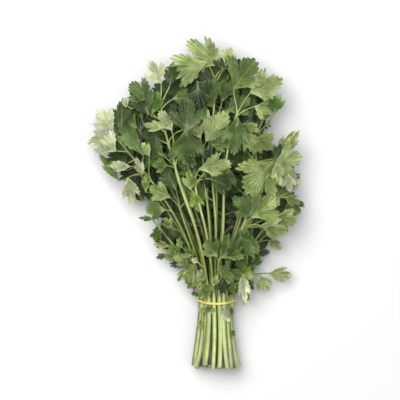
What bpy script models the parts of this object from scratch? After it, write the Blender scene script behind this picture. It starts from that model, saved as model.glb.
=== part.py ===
"""Bunch of flat-leaf parsley lying on a surface, its leafy stems held by one rubber band.

The bunch points along +Y, +Z is up and the surface is z = 0. Lengths here are in millimetres and
become metres as each mesh is made. The stems are packed in rows inside the band. Each row opens
into a sheet of its own, and settle() then domes and ripples all the sheets together. It keeps
their order, so that leafy stems on different sheets can't cross.
"""

import math
import random
from collections import namedtuple

import bmesh
import bpy
from mathutils import Vector

MM = 0.001

# Stems, stalklets and blades.
STEM_RADIUS_CUT = 1.85
STEM_RADIUS_BAND = 1.7
STEM_RADIUS_FORK = 1.15
STALKLET_RADIUS = 0.75
STALKLET_END_RADIUS = 0.25
STALKLET_SPACING = 1.5
STALKLET_SINK = 3.0
STALKLET_STEPS = 2
BRANCH_LEAN = 0.5
BRANCH_EASE = 0.6
TUBE_TILT = 0.4
BLADE_THICKNESS = 0.62
LEAST_DROOP = 1.0
DROOP_OF_LIFT = 0.25
FULL_DROOP_AT = 0.6
SURFACE_GAP = 0.05

# Rubber band.
BAND_Y = 57.0
BAND_WIDTH = 2.8
BAND_THICKNESS = 1.2
BAND_GAP = 0.35
BAND_CORNER_STEPS = 3

# Packing of the stems inside the band, and their cut ends.
ROW_COUNTS = (4, 5, 6, 7, 6, 5, 4)
STEM_PITCH = 4.4
ROW_RISE = 3.8
LOWEST_STEM_AT_BAND = STEM_RADIUS_BAND + BAND_GAP + BAND_THICKNESS
CUT_FLARE = 1.4
CUT_ROW_RISE = 4.4
CUT_UNEVENNESS = 5.0
CUT_END_SHARE = 0.6
CUT_NARROWING = 0.1

# Course of a stem from the band to its fork.
STEM_EASE = 0.8
STEM_STEP_LENGTH = 50.0
LEAST_STEM_STEPS = 2
STEM_TAPER = 0.7

# Sheet coordinate of each row of stems, and how far under it the lower rows' blades lie by turns.
ROW_SHEETS = (6.0, 14.0, 22.0, 28.0, 37.0, 46.0, 55.0)
BLADE_DROPS = (4.2, 2.3)
LOWEST_ROW_DROPS = (5.2, 3.2)
TOP_SHEET = 62.0

# Dome and ripples of the opened sheets.
OPENING_LENGTH = 80.0
DOME_CENTRE = (-12.0, 170.0)
DOME_REACH = (98.0, 115.0)
DOME_FLAT_SHARE = 0.42
DOME_EDGE_SHARE = 0.62
DOME_EDGE_LOSS = 0.42
DOME_FULL_SHEET = 32.0
RIPPLE_HEIGHT = 4.5
RIPPLE_ACROSS = 12.5
RIPPLE_ALONG = 17.0
RIPPLE_SLANTED = 15.0
RIPPLE_START = 0.6
SLANTED_SHARE = 0.7
RIPPLE_SHEETS = (26.0, 40.0, 30.0)
SWAY = 2.2
SWAY_ACROSS = 23.0
SWAY_ALONG = 21.0
SWAY_SHEETS = (19.0, 17.0)

# A leafy stem: where it forks, the way it arrives there, how far its blades lie over it on its
# sheet, and its leaflets. A leaflet: where its blade starts, the way it points, its length, and its
# breadth as a share of that. Ways are in degrees from +Y, clockwise seen from above.
LeafyStem = namedtuple("LeafyStem", "x y way lift leaflets")
Leaflet = namedtuple("Leaflet", "x y way length breadth")

# Upper rows by row number, each from the left to the right.
UPPER_ROWS = {
    6: (
        LeafyStem(-33, 170, -12, 3.5, (
            Leaflet(-36, 180, 78, 28, 1.2),
            Leaflet(-25, 196, -3, 32, 1.0),
            Leaflet(-37, 199, -36, 23, 0.8),
            Leaflet(-45, 201, -72, 18, 0.6),
        )),
        LeafyStem(-17, 158, -4, 7, (
            Leaflet(-13, 168, 66, 31, 0.8),
            Leaflet(-4, 160, 108, 22, 0.8),
            Leaflet(-21, 167, -28, 15, 0.8),
        )),
        LeafyStem(1, 89, 4, 8, (
            Leaflet(0, 95, -42, 19, 1.0),
            Leaflet(2, 94, 50, 27, 0.95),
            Leaflet(2, 98, 8, 11, 0.8),
            Leaflet(5, 84, 152, 14, 1.0),
        )),
        LeafyStem(46, 169, 28, 5, (
            Leaflet(49, 178, -140, 39, 1.1),
            Leaflet(51, 177, 82, 24, 1.25),
            Leaflet(50, 180, 28, 20, 0.7),
        )),
    ),
    5: (
        LeafyStem(-48, 222, -14, 4.8, (
            Leaflet(-48, 239, -32, 24, 0.8),
            Leaflet(-41, 237, 8, 22, 0.7),
            Leaflet(-56, 226, -52, 28, 0.8),
            Leaflet(-39, 226, 84, 21, 0.8),
        )),
        LeafyStem(-10, 185, -2, 3.0, (
            Leaflet(-8, 192, 33, 33, 1.0),
            Leaflet(-12, 194, -28, 17, 0.8),
            Leaflet(-4, 190, 85, 18, 0.8),
        )),
        LeafyStem(-3, 246, -3, 3.0, (
            Leaflet(1, 257, -43, 34, 1.05),
            Leaflet(-4, 254, -104, 39, 0.8),
            Leaflet(-11, 243, -140, 22, 0.8),
            Leaflet(6, 258, 14, 20, 0.8),
        )),
        LeafyStem(17, 218, 9, 6.4, (
            Leaflet(12, 237, 29, 35, 1.1),
            Leaflet(26, 235, 67, 32, 1.0),
            Leaflet(30, 224, 106, 20, 0.9),
        )),
        LeafyStem(23, 124, 22, 3.0, (
            Leaflet(32, 134, -52, 20, 1.0),
            Leaflet(34, 133, 56, 24, 0.9),
            Leaflet(35, 122, 84, 23, 0.8),
            Leaflet(29, 118, 170, 35, 0.75),
            Leaflet(48, 131, 110, 22, 0.9),
        )),
    ),
    4: (
        LeafyStem(-77, 188, -40, 3.0, (
            Leaflet(-86, 203, -43, 24, 0.9),
            Leaflet(-86, 197, -104, 23, 1.0),
            Leaflet(-79, 204, -4, 26, 0.7),
        )),
        LeafyStem(-32, 137, -16, 4.8, (
            Leaflet(-38, 146, -60, 22, 0.9),
            Leaflet(-23, 145, 8, 24, 0.7),
            Leaflet(-34, 150, -22, 24, 0.8),
        )),
        LeafyStem(2, 214, 0, 3.0, (
            Leaflet(-3, 222, -36, 26, 0.9),
            Leaflet(4, 227, 10, 27, 0.9),
            Leaflet(8, 219, 60, 26, 0.9),
        )),
        LeafyStem(34, 178, 18, 4.8, (
            Leaflet(34, 186, 44, 22, 1.0),
            Leaflet(26, 186, 2, 27, 0.9),
            Leaflet(53, 179, 34, 27, 0.6),
        )),
        LeafyStem(41, 143, 42, 3.0, (
            Leaflet(61, 149, 16, 20, 0.9),
            Leaflet(61, 146, 158, 20, 0.9),
            Leaflet(48, 147, 62, 22, 0.9),
        )),
        LeafyStem(19, 67, 40, 6.5, (
            Leaflet(22, 73, 20, 17, 0.95),
            Leaflet(24, 69, 178, 17, 0.5),
        )),
    ),
    3: (
        LeafyStem(-50, 120, -44, 3.0, (
            Leaflet(-54, 127, -92, 13, 0.7),
            Leaflet(-50, 116, -150, 12, 0.9),
            Leaflet(-52, 131, -22, 15, 0.6),
        )),
        LeafyStem(-66, 166, -32, 5.2, (
            Leaflet(-70, 178, -22, 34, 0.9),
            Leaflet(-79, 170, -130, 20, 0.9),
            Leaflet(-75, 162, 172, 25, 0.65),
            Leaflet(-58, 173, 32, 25, 0.9),
        )),
        LeafyStem(-57, 196, -24, 3.0, (
            Leaflet(-62, 211, -14, 31, 1.0),
            Leaflet(-66, 203, -58, 27, 1.0),
            Leaflet(-49, 203, 34, 27, 1.0),
        )),
        LeafyStem(-18, 222, -8, 4.8, (
            Leaflet(-24, 230, -40, 28, 1.0),
            Leaflet(-20, 235, 0, 28, 1.0),
            Leaflet(-12, 226, 45, 24, 1.0),
        )),
        LeafyStem(37, 203, 14, 3.0, (
            Leaflet(43, 217, 38, 19, 0.8),
            Leaflet(30, 212, -26, 24, 1.0),
            Leaflet(43, 206, 84, 13, 0.8),
        )),
        LeafyStem(36, 108, 46, 6.4, (
            Leaflet(41, 114, 40, 20, 0.9),
            Leaflet(43, 110, 128, 17, 0.5),
            Leaflet(34, 100, 168, 16, 0.9),
        )),
        LeafyStem(32, 80, 55, 3.0, (
            Leaflet(43, 81, 92, 16, 0.7),
            Leaflet(37, 79, 154, 17, 0.85),
            Leaflet(33, 86, 18, 12, 0.8),
        )),
    ),
}

# Lower rows by row number: the way each stem leaves, and how far its leaves reach, as a share of
# the bunch's own reach that way.
LOWER_ROWS = {
    2: ((-40, 0.62), (-33, 0.98), (-17, 0.85), (3, 1.0), (19, 0.96), (38, 0.82)),
    1: ((-38, 0.6), (-23, 0.68), (-4, 0.6), (13, 0.72), (35, 0.92)),
    0: ((-36, 0.96), (-13, 0.95), (9, 0.95), (29, 0.92)),
}

# Leaflets of the lower rows: their length, the share of it that each has and lies from the fork,
# and how far the side ones turn away from the stem.
LOWER_LENGTH = 10.0
LOWER_LENGTH_GAIN = 0.1
MIDDLE_SIZE = 1.15
MIDDLE_GAP = 3.0
MIDDLE_AWAY = 0.38
SIDE_SIZE = 0.95
SIDE_AWAY = 0.3
SIDE_TURN = 70
FOLDED_SIZE = 0.7
FOLDED_TURN = 42
SIDE_START_SHARE = 0.9
AWAY_VARIATION = 0.1
TURN_VARIATION = 10.0
BREADTHS = (0.95, 1.15)

# Greens of the leafy stems, by turns across the bunch.
GREENS = (
    ("light_green", (0.32, 0.42, 0.13)),
    ("mid_green", (0.16, 0.28, 0.08)),
    ("dark_green", (0.08, 0.15, 0.04)),
)
BAND_COLOUR = (0.78, 0.56, 0.11)

# Outline of the whole bunch, seen from the band: ways, and how far the leaves reach along them.
REACH_WAYS = (-45, -40, -35, -25, -15, -5, 10, 15, 20, 25, 30, 35, 40, 45)
REACHES = (80, 152, 180, 191, 207, 220, 209, 203, 153, 154, 145, 124, 110, 96)

# Half a blade's edge seen from its hub, as shares of the blade's length: the way and the reach of
# each tooth, and the reach of the notch after it.
HUB_AT = 0.2
TEETH = (
    (66, 0.48, 0.44),
    (43, 0.68, 0.42),
    (19, 0.66, 0.56),
)


def blend(t):
    """0 to 1 with flat ends."""
    t = min(1.0, max(0.0, t))
    return t * t * (3 - 2 * t)


def interpolate(value, knots, values):
    """Straight-line interpolation, level past both ends."""
    if value <= knots[0]:
        return values[0]
    for low, high, start, end in zip(knots, knots[1:], values, values[1:]):
        if value <= high:
            return start + (end - start) * (value - low) / (high - low)
    return values[-1]


def direction(way):
    """Unit vector of a way, in plan."""
    return Vector((math.sin(math.radians(way)), math.cos(math.radians(way)), 0))


def height_at_band(sheet):
    rows = [LOWEST_STEM_AT_BAND + ROW_RISE * row for row in range(len(ROW_SHEETS))]
    return interpolate(sheet, (0, *ROW_SHEETS, TOP_SHEET), (0, *rows, rows[-1] + ROW_RISE))


def dome(x, y, sheet):
    """Share of its full height that a sheet keeps at a place in plan: the upper ones sink at the edges."""
    across = (x - DOME_CENTRE[0]) / DOME_REACH[0]
    along = (y - DOME_CENTRE[1]) / DOME_REACH[1]
    edge = blend((math.hypot(across, along) - DOME_FLAT_SHARE) / DOME_EDGE_SHARE)
    return 1 - DOME_EDGE_LOSS * edge * blend(sheet / DOME_FULL_SHEET)


def ripple(x, y, sheet):
    across, along, slanted = (sheet / shift for shift in RIPPLE_SHEETS)
    first = math.sin(x / RIPPLE_ACROSS + across + RIPPLE_START) * math.cos(y / RIPPLE_ALONG - along)
    return first + SLANTED_SHARE * math.sin((x + y) / RIPPLE_SLANTED + slanted)


def settle(x, y, sheet):
    """The place over the surface of a point on a sheet. Sheets keep their order everywhere."""
    opened = blend((y - BAND_Y) / OPENING_LENGTH)
    low = height_at_band(sheet)
    high = sheet * dome(x, y, sheet) + RIPPLE_HEIGHT * (sheet / TOP_SHEET) * ripple(x, y, sheet)
    sway = SWAY * opened * sheet / TOP_SHEET
    return Vector((
        x + sway * math.sin(y / SWAY_ALONG + sheet / SWAY_SHEETS[0]),
        y + sway * math.sin(x / SWAY_ACROSS - sheet / SWAY_SHEETS[1]),
        low + (high - low) * opened,
    ))


def smooth_route(start, leave, end, arrive, steps):
    """Points of a smooth curve after its start, from one place and heading to another."""
    points = []
    for step in range(1, steps + 1):
        t = step / steps
        points.append(
            start * (2 * t**3 - 3 * t**2 + 1)
            + leave * (t**3 - 2 * t**2 + t)
            + end * (3 * t**2 - 2 * t**3)
            + arrive * (t**3 - t**2)
        )
    return points


def fork_of_three(slot, slots, length):
    """Turn, size and distance from the fork of a lower stem's leaflets. The outermost ones fold in."""
    left_turn, left_size = (-FOLDED_TURN, FOLDED_SIZE) if slot == 0 else (-SIDE_TURN, SIDE_SIZE)
    right_turn, right_size = (FOLDED_TURN, FOLDED_SIZE) if slot == slots - 1 else (SIDE_TURN, SIDE_SIZE)
    beside = SIDE_AWAY * length
    return (
        (0, MIDDLE_SIZE, MIDDLE_GAP + MIDDLE_AWAY * length),
        (left_turn, left_size, beside),
        (right_turn, right_size, beside),
    )


def lower_row(row):
    """The leafy stems of a lower row, each a fork of three leaflets."""
    draw = random.Random(40 + row)
    drops = BLADE_DROPS if row else LOWEST_ROW_DROPS
    stems = []
    for slot, (way, share) in enumerate(LOWER_ROWS[row]):
        reach = interpolate(way, REACH_WAYS, REACHES) * share
        length = LOWER_LENGTH + LOWER_LENGTH_GAIN * reach
        tip_away = MIDDLE_GAP + (MIDDLE_AWAY + MIDDLE_SIZE) * length
        fork = Vector((0, BAND_Y, 0)) + direction(way) * (reach - tip_away)
        leaflets = []
        for turn, size, away in fork_of_three(slot, len(LOWER_ROWS[row]), length):
            away *= draw.uniform(1 - AWAY_VARIATION, 1 + AWAY_VARIATION)
            base = fork + direction(way + turn * SIDE_START_SHARE) * away
            leaf_way = way + turn + draw.uniform(-TURN_VARIATION, TURN_VARIATION)
            leaflets.append(Leaflet(base.x, base.y, leaf_way, length * size, draw.uniform(*BREADTHS)))
        stems.append(LeafyStem(fork.x, fork.y, way, -drops[slot % len(drops)], leaflets))
    return stems


def branch_route(start, heading, leaflet, sheet):
    """Points from a fork into the blade of a leaflet."""
    base = Vector((leaflet.x, leaflet.y, sheet))
    span = base - start
    leave = (span.normalized() + heading * BRANCH_LEAN) * span.length * BRANCH_EASE
    arrive = direction(leaflet.way) * span.length * BRANCH_EASE
    end = base + direction(leaflet.way) * STALKLET_SINK
    return [settle(*point) for point in smooth_route(start, leave, end, arrive, STALKLET_STEPS)]


def stem_path(row, slot, stem):
    """Points and radii along a stem, from its cut end past its fork to its first blade."""
    draw = random.Random(100 * row + slot)
    across = (slot - (ROW_COUNTS[row] - 1) / 2) * STEM_PITCH
    cut_height = STEM_RADIUS_CUT + CUT_ROW_RISE * row
    cut = Vector((across * CUT_FLARE, draw.uniform(0, CUT_UNEVENNESS), cut_height))
    under_band = settle(across, BAND_Y - BAND_WIDTH, ROW_SHEETS[row])
    past_band = Vector((across, BAND_Y + BAND_WIDTH, ROW_SHEETS[row]))
    halfway = cut.lerp(under_band, CUT_END_SHARE) - Vector((across * CUT_NARROWING, 0, 0))
    points = [cut, halfway, under_band, settle(*past_band)]
    radii = [STEM_RADIUS_CUT, STEM_RADIUS_CUT, STEM_RADIUS_BAND, STEM_RADIUS_BAND]
    fork = Vector((stem.x, stem.y, ROW_SHEETS[row]))
    reach = (fork - past_band).length
    leave = Vector((0, reach * STEM_EASE, 0))
    arrive = direction(stem.way) * reach * STEM_EASE
    steps = LEAST_STEM_STEPS + round(reach / STEM_STEP_LENGTH)
    for step, point in enumerate(smooth_route(past_band, leave, fork, arrive, steps), 1):
        points.append(settle(*point))
        radii.append(STEM_RADIUS_BAND + (STEM_RADIUS_FORK - STEM_RADIUS_BAND) * (step / steps) ** STEM_TAPER)
    points += branch_route(fork, direction(stem.way), stem.leaflets[0], ROW_SHEETS[row] + stem.lift)
    radii += [STALKLET_RADIUS, STALKLET_END_RADIUS]
    return points, radii


def tube(name, points, radii, resolution):
    """A round rod through the points, as a mesh with its caps welded on."""
    curve = bpy.data.curves.new(name, "CURVE")
    curve.dimensions = "3D"
    curve.bevel_depth = MM
    curve.bevel_resolution = resolution
    curve.use_fill_caps = True
    spline = curve.splines.new("POLY")
    spline.points.add(len(points) - 1)
    for bead, point, radius in zip(spline.points, points, radii):
        bead.co = (*(point * MM), 1)
        bead.radius = radius
        bead.tilt = TUBE_TILT
    rod = bpy.data.objects.new(name, curve)
    bpy.context.scene.collection.objects.link(rod)
    bpy.context.view_layer.update()
    graph = bpy.context.evaluated_depsgraph_get()
    mesh = bpy.data.meshes.new_from_object(rod.evaluated_get(graph))
    bpy.data.objects.remove(rod)
    welded = bmesh.new()
    welded.from_mesh(mesh)
    bmesh.ops.remove_doubles(welded, verts=welded.verts, dist=1e-6)
    welded.to_mesh(mesh)
    welded.free()
    return bpy.data.objects.new(name, mesh)


def half_edge(side):
    """Points of one half of a blade's edge, from its first tooth to the last notch before its tip."""
    points = []
    next_ways = [tooth[0] for tooth in TEETH[1:]] + [0]
    for (way, tooth, notch), next_way in zip(TEETH, next_ways):
        points.append(direction(side * way) * tooth)
        points.append(direction(side * (way + next_way) / 2) * notch)
    return points


def blade(name, leaflet, sheet, droop):
    """One leaflet's blade: a toothed plate whose edge droops below its hub."""
    along = direction(leaflet.way) * leaflet.length
    across = direction(leaflet.way + 90) * leaflet.length * leaflet.breadth

    def placed(share):
        plan = Vector((leaflet.x, leaflet.y, 0)) + across * share.x + along * (HUB_AT + share.y)
        drooped = droop * min(1, (share.length / FULL_DROOP_AT) ** 2)
        place = settle(plan.x, plan.y, sheet - drooped)
        place.z = max(BLADE_THICKNESS / 2 + SURFACE_GAP, place.z)
        return place * MM

    plate = bmesh.new()
    tip = Vector((0, 1 - HUB_AT, 0))
    edge = [Vector((0, -HUB_AT, 0)), *half_edge(1), tip, *reversed(half_edge(-1))]
    hub = plate.verts.new(placed(Vector((0, 0, 0))))
    rim = [plate.verts.new(placed(point)) for point in edge]
    for first, second in zip(rim, rim[1:] + rim[:1]):
        plate.faces.new((hub, second, first))
    mesh = bpy.data.meshes.new(name)
    plate.to_mesh(mesh)
    plate.free()
    leaf = bpy.data.objects.new(name, mesh)
    thickness = leaf.modifiers.new("thickness", "SOLIDIFY")
    thickness.thickness = BLADE_THICKNESS * MM
    thickness.offset = 0
    return leaf


def stalklet(name, stem, leaflet, row, number):
    """The little stalk from inside a stem near its fork to just inside a blade."""
    heading = direction(stem.way)
    start = Vector((stem.x, stem.y, ROW_SHEETS[row])) - heading * STALKLET_SPACING * number
    points = [settle(*start), *branch_route(start, heading, leaflet, ROW_SHEETS[row] + stem.lift)]
    radii = [STALKLET_RADIUS] * STALKLET_STEPS + [STALKLET_END_RADIUS]
    return tube(name, points, radii, 0)


def outer_shell(mesh):
    """Leaves a mesh only its largest shell, which fills any hollow that joining its pieces has sealed."""
    joined = bmesh.new()
    joined.from_mesh(mesh)
    unseen = set(joined.faces)
    shells = []
    while unseen:
        shell = {unseen.pop()}
        edge_of_shell = set(shell)
        while edge_of_shell:
            beside = {near for face in edge_of_shell for edge in face.edges for near in edge.link_faces}
            edge_of_shell = beside - shell
            shell |= edge_of_shell
        unseen -= shell
        shells.append(shell)
    shells.sort(key=len)
    inner = [face for shell in shells[:-1] for face in shell]
    bmesh.ops.delete(joined, geom=inner, context="FACES")
    joined.to_mesh(mesh)
    joined.free()


def leafy_stem(name, row, slot, stem, collection, material):
    """A stem with its stalklets and blades, joined into one solid."""
    points, radii = stem_path(row, slot, stem)
    body = tube(name, points, radii, 1)
    collection.objects.link(body)
    joined = bpy.data.collections.new(name + "_leaves")
    bpy.context.scene.collection.children.link(joined)
    droop = max(LEAST_DROOP, stem.lift * DROOP_OF_LIFT)
    for number, leaflet in enumerate(stem.leaflets):
        if number:
            joined.objects.link(stalklet(f"stalklet_{number}", stem, leaflet, row, number))
        joined.objects.link(blade(f"blade_{number}", leaflet, ROW_SHEETS[row] + stem.lift, droop))
    union = body.modifiers.new("join", "BOOLEAN")
    union.operation = "UNION"
    union.solver = "MANIFOLD"
    union.operand_type = "COLLECTION"
    union.collection = joined
    bpy.context.view_layer.update()
    graph = bpy.context.evaluated_depsgraph_get()
    whole = bpy.data.meshes.new_from_object(body.evaluated_get(graph))
    body.modifiers.clear()
    outer_shell(whole)
    whole.materials.append(material)
    body.data = whole
    for piece in list(joined.objects):
        bpy.data.objects.remove(piece)
    bpy.data.collections.remove(joined)


def band_corners():
    """Centres of the stems at the corners of the packed stems, clockwise seen from the cut ends."""
    middle = len(ROW_COUNTS) // 2
    last = len(ROW_COUNTS) - 1
    corners = []
    for row, side in ((0, -1), (middle, -1), (last, -1), (last, 1), (middle, 1), (0, 1)):
        across = side * (ROW_COUNTS[row] - 1) / 2 * STEM_PITCH
        corners.append(Vector((across, LOWEST_STEM_AT_BAND + ROW_RISE * row)))
    return corners


def rubber_band(collection, material):
    """A flat band round the packed stems: a rounded hexagon with its lowest side on the surface."""
    corners = band_corners()
    loop = []
    for before, corner, after in zip(corners[-1:] + corners[:-1], corners, corners[1:] + corners[:1]):
        arriving = (corner - before).normalized()
        leaving = (after - corner).normalized()
        for step in range(BAND_CORNER_STEPS + 1):
            heading = arriving.slerp(leaving, step / BAND_CORNER_STEPS)
            outward = Vector((-heading.y, heading.x))
            loop.append(corner + outward * (STEM_RADIUS_BAND + BAND_GAP))
    ring = bmesh.new()
    front = [ring.verts.new((point.x * MM, (BAND_Y - BAND_WIDTH / 2) * MM, point.y * MM)) for point in loop]
    edges = [ring.edges.new(pair) for pair in zip(front, front[1:] + front[:1])]
    strip = bmesh.ops.extrude_edge_only(ring, edges=edges)["geom"]
    back = [item for item in strip if isinstance(item, bmesh.types.BMVert)]
    bmesh.ops.translate(ring, verts=back, vec=(0, BAND_WIDTH * MM, 0))
    mesh = bpy.data.meshes.new("rubber_band")
    ring.to_mesh(mesh)
    ring.free()
    mesh.materials.append(material)
    band = bpy.data.objects.new("rubber_band", mesh)
    thickness = band.modifiers.new("thickness", "SOLIDIFY")
    thickness.thickness = BAND_THICKNESS * MM
    thickness.offset = -1
    thickness.use_even_offset = True
    collection.objects.link(band)


def surface(name, colour, roughness):
    """A plain opaque material."""
    material = bpy.data.materials.new(name)
    material.use_nodes = True
    shader = material.node_tree.nodes["Principled BSDF"]
    shader.inputs["Base Color"].default_value = (*colour, 1)
    shader.inputs["Roughness"].default_value = roughness
    shader.inputs["Metallic"].default_value = 0
    return material


def centre_over_origin(collection):
    """Moves the bunch so that the middle of its box's underside is the origin."""
    bpy.context.view_layer.update()
    graph = bpy.context.evaluated_depsgraph_get()
    pieces = [piece.evaluated_get(graph) for piece in collection.objects]
    corners = [Vector(corner) for piece in pieces for corner in piece.bound_box]
    low = Vector([min(values) for values in zip(*corners)])
    high = Vector([max(values) for values in zip(*corners)])
    for piece in collection.objects:
        piece.location = (-(low.x + high.x) / 2, -(low.y + high.y) / 2, -low.z)


def main():
    for old in list(bpy.data.objects):
        bpy.data.objects.remove(old)
    bunch = bpy.data.collections.new("parsley_bunch")
    bpy.context.scene.collection.children.link(bunch)
    number = 0
    for row in range(len(ROW_COUNTS)):
        stems = UPPER_ROWS.get(row) or lower_row(row)
        for slot, stem in enumerate(stems):
            number += 1
            name = f"leafy_stem_{number:02d}"
            tone, colour = GREENS[(row + slot) % len(GREENS)]
            leafy_stem(name, row, slot, stem, bunch, surface(f"{name}_{tone}", colour, 0.5))
    rubber_band(bunch, surface("rubber_band", BAND_COLOUR, 0.45))
    centre_over_origin(bunch)


main()
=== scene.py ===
import math
import random

import bmesh
import bpy
from mathutils import Matrix, Vector


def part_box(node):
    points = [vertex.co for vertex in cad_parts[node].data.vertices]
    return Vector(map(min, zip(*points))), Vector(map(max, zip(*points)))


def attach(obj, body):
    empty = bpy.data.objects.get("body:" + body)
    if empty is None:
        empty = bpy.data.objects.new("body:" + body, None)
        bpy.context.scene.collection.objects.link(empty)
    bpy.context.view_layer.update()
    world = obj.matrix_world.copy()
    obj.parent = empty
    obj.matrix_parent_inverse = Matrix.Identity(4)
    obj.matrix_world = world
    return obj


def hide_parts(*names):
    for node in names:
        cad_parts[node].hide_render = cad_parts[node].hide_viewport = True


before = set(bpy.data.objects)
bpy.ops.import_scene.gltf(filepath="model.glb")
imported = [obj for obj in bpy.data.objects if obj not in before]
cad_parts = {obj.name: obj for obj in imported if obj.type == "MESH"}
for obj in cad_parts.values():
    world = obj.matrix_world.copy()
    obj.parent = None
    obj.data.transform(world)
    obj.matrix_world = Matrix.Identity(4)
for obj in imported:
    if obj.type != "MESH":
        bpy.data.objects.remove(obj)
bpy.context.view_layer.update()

mm = 0.001

# How the stems are packed and how their sheets open. These match the solids. A sheet is a layer
# of the opened bunch, by its height there.
packing = {
    "rowCounts": (4, 5, 6, 7, 6, 5, 4),
    "rowSheets": (6, 14, 22, 28, 37, 46, 55),
    "topSheet": 62,
    "stemPitch": 4.4,
    "rowRise": 3.8,
    "lowestStem": 3.25,
    "cutFlare": 1.4,
    "cutRise": 4.4,
    "cutUnevenness": 5.0,
    "bandY": 57,
    "bandHalf": 2.8,
    "openingLength": 80,
    "domeCentre": (-12, 170),
    "domeReach": (98, 115),
    "domeEdgeLoss": 0.42,
    "domeFullSheet": 32,
    "rippleHeight": 4.5,
    "sway": 2.2,
}

# Everything below is in millimetres in the bunch's own frame: the cut ends lie near y = 0, the
# tie is at x = 0, y = 57, and the leaves point along +Y. toFrame() carries a point into the frame
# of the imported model.
bandLow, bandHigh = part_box("rubber_band")
bandMiddle = [(low + high) / 2 for low, high in zip(bandLow, bandHigh)]
bunchOrigin = Vector((bandMiddle[0], bandMiddle[1] - packing["bandY"] * mm, 0))


def toFrame(point):
    return bunchOrigin + Vector(point) * mm


def smoothStep(t):
    t = min(1.0, max(0.0, t))
    return t * t * (3 - 2 * t)


def between(start, end, share):
    return start + (end - start) * share


def interpolate(value, knots, values):
    if value <= knots[0]:
        return values[0]
    for low, high, start, end in zip(knots, knots[1:], values, values[1:]):
        if value <= high:
            return start + (end - start) * (value - low) / (high - low)
    return values[-1]


def direction(way):  # ways are degrees from +Y, clockwise seen from above
    return Vector((math.sin(math.radians(way)), math.cos(math.radians(way)), 0))


def wayOf(x, y):
    return math.degrees(math.atan2(x, y))


def heightAtBand(sheet):
    rows = [packing["lowestStem"] + packing["rowRise"] * row for row in range(len(packing["rowCounts"]))]
    knots = (0, *packing["rowSheets"], packing["topSheet"])
    return interpolate(sheet, knots, (0, *rows, rows[-1] + packing["rowRise"]))


def dome(x, y, sheet):  # how much of its height a sheet keeps towards the bunch's edge
    across = (x - packing["domeCentre"][0]) / packing["domeReach"][0]
    along = (y - packing["domeCentre"][1]) / packing["domeReach"][1]
    edge = smoothStep((math.hypot(across, along) - 0.42) / 0.62)
    return 1 - packing["domeEdgeLoss"] * edge * smoothStep(sheet / packing["domeFullSheet"])


def ripple(x, y, sheet):  # these waves, and the sway in settle(), are the ones of the solids
    first = math.sin(x / 12.5 + sheet / 26 + 0.6) * math.cos(y / 17 - sheet / 40)
    return first + 0.7 * math.sin((x + y) / 15 + sheet / 30)


def settle(x, y, sheet):  # a point on a sheet, laid over the surface
    opened = smoothStep((y - packing["bandY"]) / packing["openingLength"])
    share = sheet / packing["topSheet"]
    low = heightAtBand(sheet)
    high = sheet * dome(x, y, sheet) + packing["rippleHeight"] * share * ripple(x, y, sheet)
    sway = packing["sway"] * opened * share
    return Vector((
        x + sway * math.sin(y / 21 + sheet / 19),
        y + sway * math.sin(x / 23 - sheet / 17),
        low + (high - low) * opened,
    ))


def smoothRoute(start, leave, end, arrive, steps):  # a cubic curve, without its first point
    points = []
    for step in range(1, steps + 1):
        t = step / steps
        points.append(
            start * (2 * t**3 - 3 * t**2 + 1) + leave * (t**3 - 2 * t**2 + t)
            + end * (3 * t**2 - 2 * t**3) + arrive * (t**3 - t**2)
        )
    return points


def tapered(count, ends):  # radii from one end of a stalk to the other
    return [interpolate(n, (0, count - 1), ends) for n in range(count)]


# Leaf greens, as the light side of a blade shows them.
tones = {
    "light": (0.312, 0.415, 0.120),
    "lightMid": (0.235, 0.330, 0.072),
    "mid": (0.140, 0.235, 0.042),
    "midDark": (0.080, 0.152, 0.026),
    "dark": (0.044, 0.086, 0.015),
    # deep is painted shade: a near-black green for leaves put deep inside, where only shade falls
    "deep": (0.020, 0.036, 0.010),
    "chalk": (0.700, 0.760, 0.460),
    "sage": (0.580, 0.640, 0.370),
    "sageMid": (0.360, 0.440, 0.185),
    "pale": (0.470, 0.550, 0.205),
    "lime": (0.260, 0.400, 0.045),
    "bright": (0.080, 0.215, 0.018),
}

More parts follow.
